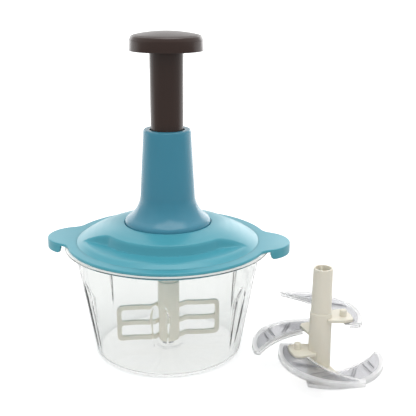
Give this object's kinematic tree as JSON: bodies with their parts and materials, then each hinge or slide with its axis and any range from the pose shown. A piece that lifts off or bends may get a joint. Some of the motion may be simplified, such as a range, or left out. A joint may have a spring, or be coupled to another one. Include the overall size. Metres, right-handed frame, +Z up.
{
  "type": "hand-press food chopper",
  "caption": "Hand-press food chopper: a plunger in the lid spins a whisk on a pin in a clear fluted bowl; a guarded blade unit stands beside it.",
  "frame": {"origin": "centre of the bowl's flat base, on the surface it stands on", "axes": "+Z up along the bowl's and the plunger's axis; -Y towards the bowl's front; +X to the right, the side where the blade unit stands"},
  "size_m": [0.2758, 0.1959, 0.2656],
  "materials": {
    "clear_plastic": "clear, polished",
    "guard_plastic": "clear, moulded",
    "blue_plastic": "satin gloss, moulded",
    "dark_plastic": "satin, moulded",
    "beige_plastic": "matte, moulded",
    "white_plastic": "natural acetal",
    "steel": "stainless",
    "brass": "turned"
  },
  "bodies": {
    "container": {"bowl": "clear_plastic", "pivot_pin": "steel"},
    "lid_assembly": {"lid": "blue_plastic", "tower": "blue_plastic", "tower_screws": "steel", "plunger_guide": "white_plastic", "spindle_bush": "brass", "spring_seat": "steel", "return_spring": "steel"},
    "plunger": {"plunger_tube": "dark_plastic", "knob": "dark_plastic", "knob_cap": "dark_plastic", "knob_screw": "steel", "drive_nut": "white_plastic", "nut_retainer": "steel", "retainer_screws": "steel"},
    "spindle": {"drive_spindle": "steel", "thrust_washer": "steel", "drive_coupling": "white_plastic", "coupling_screw": "steel"},
    "whisk_body": {"whisk": "beige_plastic"},
    "blade_unit": {"blade_hub": "beige_plastic", "blade_1": "steel", "blade_2": "steel", "blade_3": "steel", "blade_4": "steel"},
    "guard_1_body": {"guard_1": "guard_plastic"},
    "guard_2_body": {"guard_2": "guard_plastic"},
    "guard_3_body": {"guard_3": "guard_plastic"},
    "guard_4_body": {"guard_4": "guard_plastic"}
  },
  "joints": [
    {"name": "lid_lift", "type": "slide", "parent": "container", "child": "lid_assembly", "axis": [0, 0, 1], "range_m": [0, 0.12]},
    {"name": "plunger_press", "type": "slide", "parent": "lid_assembly", "child": "plunger", "axis": [0, 0, -1], "range_m": [0, 0.058], "stiffness_N_per_m": 120, "springref_m": -0.04, "deforming": ["return_spring"]},
    {"name": "spindle_spin", "type": "hinge", "parent": "lid_assembly", "child": "spindle", "pos_m": [0, 0, 0.1], "axis": [0, 0, 1], "range_deg": [0, 700]},
    {"name": "whisk_spin", "type": "hinge", "parent": "container", "child": "whisk_body", "pos_m": [0, 0, 0.02], "axis": [0, 0, 1], "range_deg": [0, 700]},
    {"name": "blade_unit_lift", "type": "slide", "parent": "container", "child": "blade_unit", "axis": [0, 0, 1], "range_m": [0, 0.035]},
    {"name": "guard_1_pull", "type": "slide", "parent": "blade_unit", "child": "guard_1_body", "axis": [0.7071, -0.7071, 0], "range_m": [0, 0.045]},
    {"name": "guard_2_pull", "type": "slide", "parent": "blade_unit", "child": "guard_2_body", "axis": [-0.7071, -0.7071, 0], "range_m": [0, 0.045]},
    {"name": "guard_3_pull", "type": "slide", "parent": "blade_unit", "child": "guard_3_body", "axis": [-0.7071, 0.7071, 0], "range_m": [0, 0.01]},
    {"name": "guard_4_pull", "type": "slide", "parent": "blade_unit", "child": "guard_4_body", "axis": [0.7071, 0.7071, 0], "range_m": [0, 0.045]}
  ],
  "couplings": [
    {"joint": "spindle_spin", "follows": "plunger_press", "rad_per_m": 209.44},
    {"joint": "whisk_spin", "follows": "plunger_press", "rad_per_m": 209.44}
  ]
}
